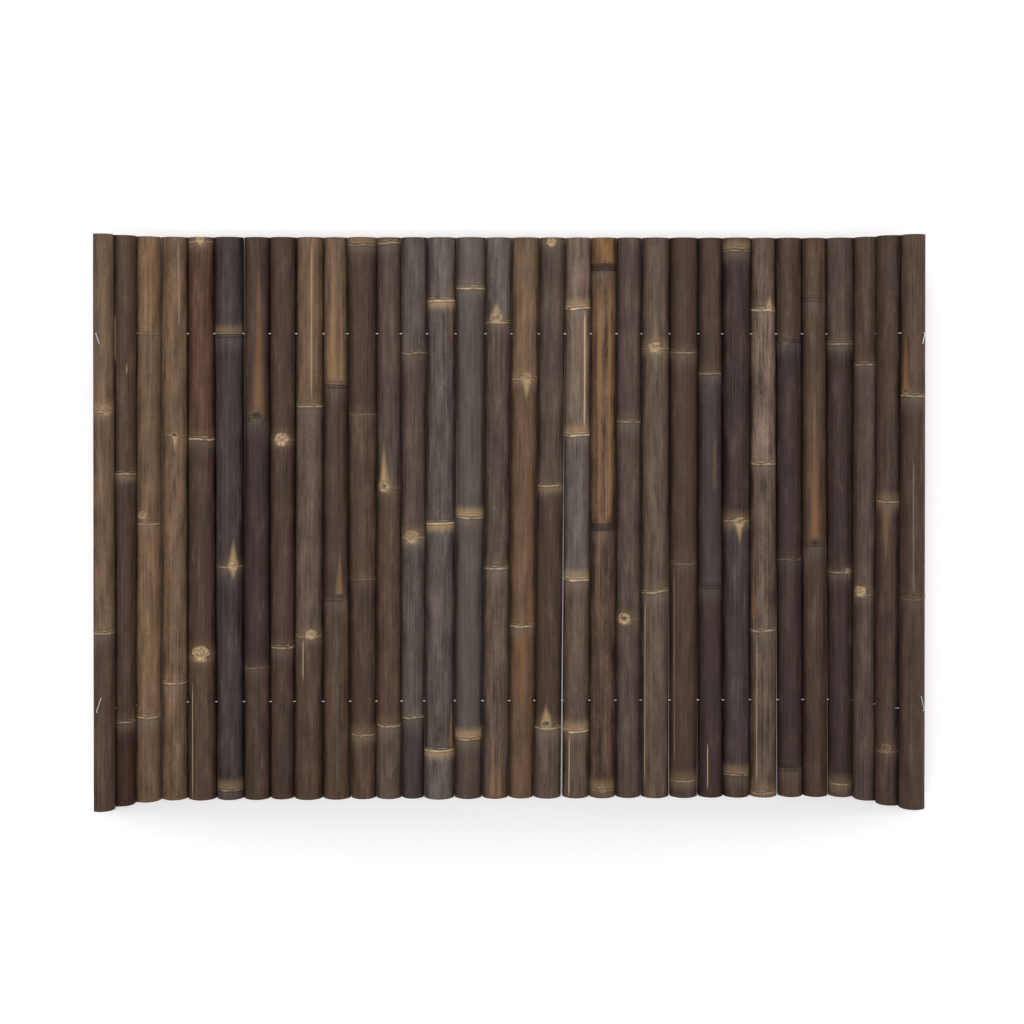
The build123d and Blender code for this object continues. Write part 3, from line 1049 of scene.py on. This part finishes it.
def seen_directly(start):
    """1 for rays that show a surface to the camera, straight or by mirror or glass, and 0 for its light."""
    seen = start.node("ShaderNodeLightPath", {}, {}, "Is Camera Ray")
    for way in ("Is Glossy Ray", "Is Transmission Ray"):
        seen = seen.at_least(start.node("ShaderNodeLightPath", {}, {}, way))
    return seen


def add_sun(name, strength, height, side, size):
    """Lamp that shines from a height above the horizon and a side, seen from the front of the fence."""
    lamp = bpy.data.lights.new(name, "SUN")
    lamp.energy = strength
    lamp.angle = size
    sun = bpy.data.objects.new(name, lamp)
    sun.rotation_euler = (pi / 2 - height, 0, side)
    bpy.context.scene.collection.objects.link(sun)


class FENCE_OT_stage(Operator):
    """Set up the white room, its light and the camera"""

    bl_idname = "fence.stage"
    bl_label = "Stage"

    def execute(self, context):
        scene = context.scene
        stage = scene.fence_stage
        size = stage.wall_size
        wall_y = CAD_BOX[1][1] + stage.wall_gap
        floor = [(-size, -size, 0), (size, -size, 0), (size, wall_y, 0), (-size, wall_y, 0)]
        wall = [(-size, wall_y, 0), (size, wall_y, 0), (size, wall_y, size), (-size, wall_y, size)]
        floor_paint = white_material("white_floor", stage, stage.floor_lift, one_sided=False)
        wall_paint = white_material("white_wall", stage, stage.wall_lift, one_sided=True)
        add_plane("floor", floor, floor_paint)
        add_plane("wall", wall, wall_paint)
        add_sun("key_lamp", stage.key, stage.key_height, -stage.key_side, stage.key_size)
        self.light_room(scene, stage)
        camera = bpy.data.cameras.new("camera")
        camera.lens = stage.lens
        camera.shift_y = -stage.drop
        viewer = bpy.data.objects.new("camera", camera)
        viewer.location = stage.camera
        viewer.rotation_euler = (pi / 2, 0, -stage.yaw)
        scene.collection.objects.link(viewer)
        scene.camera = viewer
        scene.view_settings.view_transform = "Standard"
        return {"FINISHED"}

    def light_room(self, scene, stage):
        """Room light that is stronger from the front, and plain white where it is seen."""
        world = bpy.data.worlds.new("room")
        scene.world = world
        world.use_nodes = True
        world.node_tree.nodes.clear()
        start = Shade(world.node_tree)
        depth = start.node("ShaderNodeTexCoord", {}, {}, "Generated").part(1)
        light = stage.sky_back + (1 - depth.step(-0.35, 0.35)) * (stage.sky_front - stage.sky_back)
        seen = seen_directly(start)
        background = start.node("ShaderNodeBackground", {}, {"Color": seen + (1 - seen) * light})
        start.node("ShaderNodeOutputWorld", {}, {"Surface": background})


class FENCE_PT_panel(Panel):
    """Steps and values of the fence"""

    bl_idname = "FENCE_PT_panel"
    bl_label = "Bamboo fence"
    bl_space_type = "VIEW_3D"
    bl_region_type = "UI"
    bl_category = "Fence"

    def draw(self, context):
        for step in STEPS:
            self.layout.operator(step.bl_idname)
        for name, group in GROUPS.items():
            box = self.layout.box()
            for value in group.__annotations__:
                box.prop(getattr(context.scene, name), value)


STEPS = (FENCE_OT_culms, FENCE_OT_wires, FENCE_OT_stage)
GROUPS = {
    "fence_tones": FenceTones,
    "fence_sizes": FenceSizes,
    "fence_marks": FenceMarks,
    "fence_stage": FenceStage,
}
CLASSES = (*GROUPS.values(), *STEPS, FENCE_PT_panel)


def register():
    for made in CLASSES:
        bpy.utils.register_class(made)
    for name, group in GROUPS.items():
        setattr(bpy.types.Scene, name, PointerProperty(type=group))


def unregister():
    for name in GROUPS:
        delattr(bpy.types.Scene, name)
    for made in reversed(CLASSES):
        bpy.utils.unregister_class(made)


def main():
    register()
    bpy.ops.fence.culms()
    bpy.ops.fence.wires()
    bpy.ops.fence.stage()


if __name__ == "__main__":
    main()
